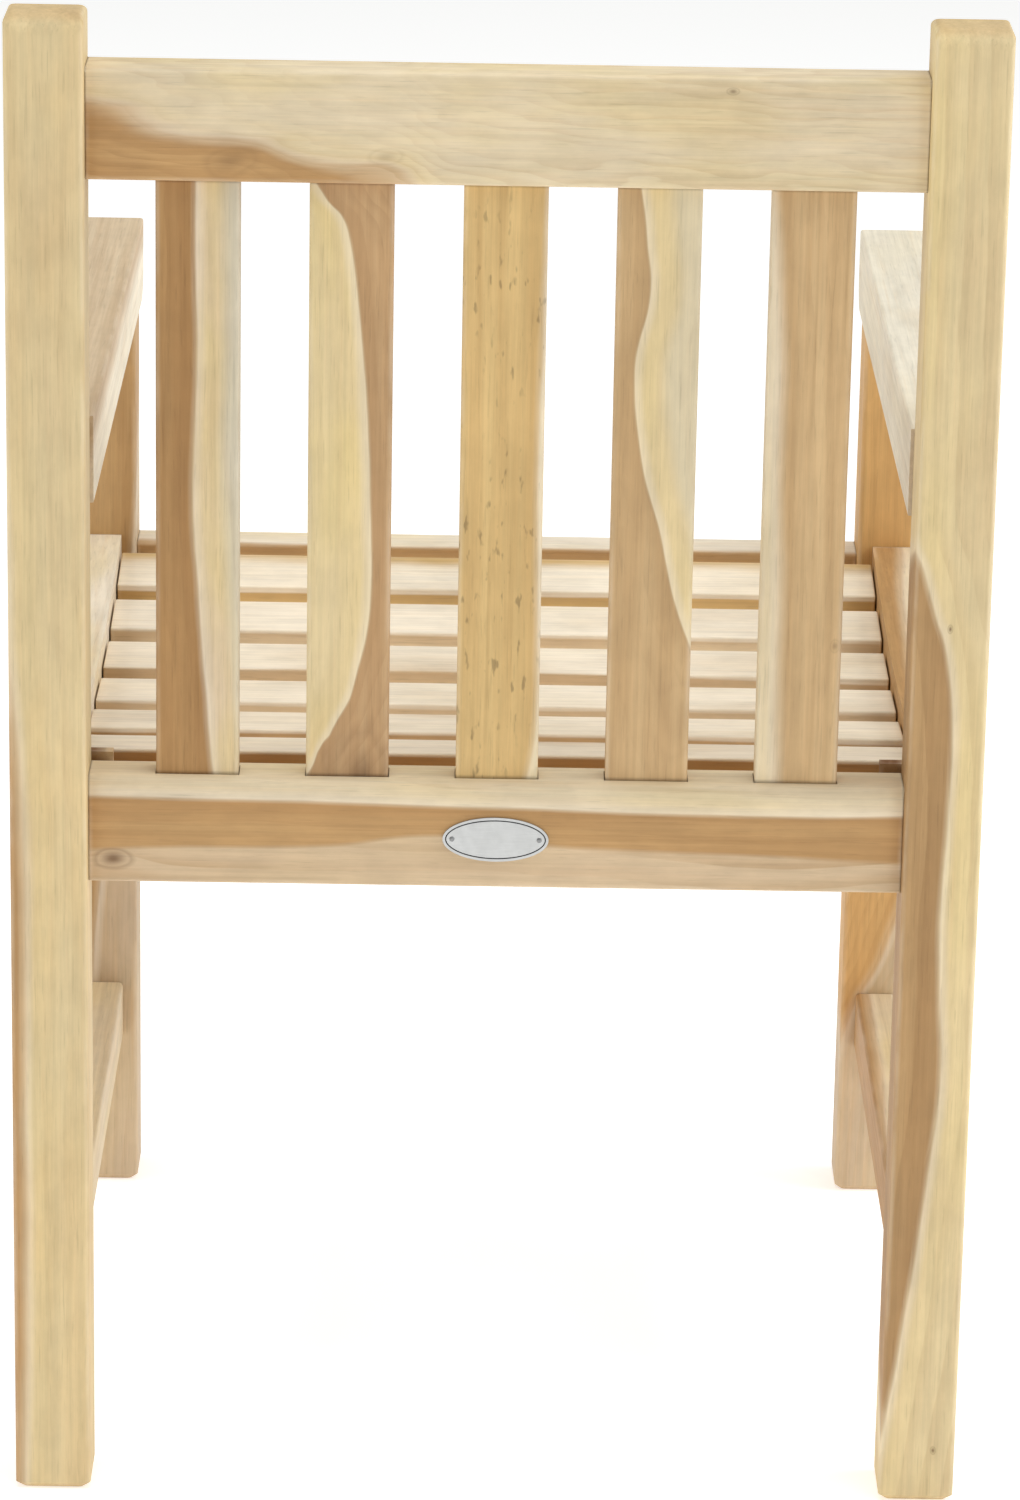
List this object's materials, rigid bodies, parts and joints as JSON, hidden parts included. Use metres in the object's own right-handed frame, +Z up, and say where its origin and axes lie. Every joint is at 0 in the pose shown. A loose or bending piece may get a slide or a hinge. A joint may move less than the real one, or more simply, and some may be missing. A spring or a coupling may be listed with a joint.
{
  "type": "garden bench",
  "caption": "Slatted hardwood garden seat, one place wide, with armrests, an upright slatted back and a hollowed slatted seat.",
  "frame": {"origin": "on the floor, at the middle of the width and of the whole depth from the armrests' front ends to the rear legs' back faces", "axes": "+Z up, the front faces -Y, +X is the sitter's left"},
  "size_m": [0.57, 0.553, 0.9],
  "materials": {
    "teak_legs": "oiled pale teak",
    "teak_rails": "oiled pale teak",
    "teak_arms": "pale sanded teak",
    "teak_back_slats": "oiled teak with brown heartwood",
    "teak_seat": "pale sanded teak",
    "teak_cleats": "sanded teak",
    "screw_steel": "stainless steel",
    "badge_steel": "brushed stainless steel"
  },
  "bodies": {
    "root": {"rear_leg_left": "teak_legs", "rear_leg_right": "teak_legs", "front_leg_left": "teak_legs", "front_leg_right": "teak_legs", "top_rail": "teak_rails", "rear_seat_rail": "teak_rails", "front_seat_rail": "teak_rails", "side_seat_rail_left": "teak_rails", "side_seat_rail_right": "teak_rails", "stretcher_left": "teak_rails", "stretcher_right": "teak_rails", "armrest_left": "teak_arms", "armrest_right": "teak_arms", "back_slat_1": "teak_back_slats", "back_slat_2": "teak_back_slats", "back_slat_3": "teak_back_slats", "back_slat_4": "teak_back_slats", "back_slat_5": "teak_back_slats", "seat_slat_1": "teak_seat", "seat_slat_2": "teak_seat", "seat_slat_3": "teak_seat", "seat_slat_4": "teak_seat", "seat_slat_5": "teak_seat", "seat_slat_6": "teak_seat", "seat_cleat_left": "teak_cleats", "seat_cleat_right": "teak_cleats", "slat_screws": "screw_steel", "cleat_screws": "screw_steel", "badge_plate": "badge_steel", "badge_pins": "badge_steel"}
  },
  "joints": []
}
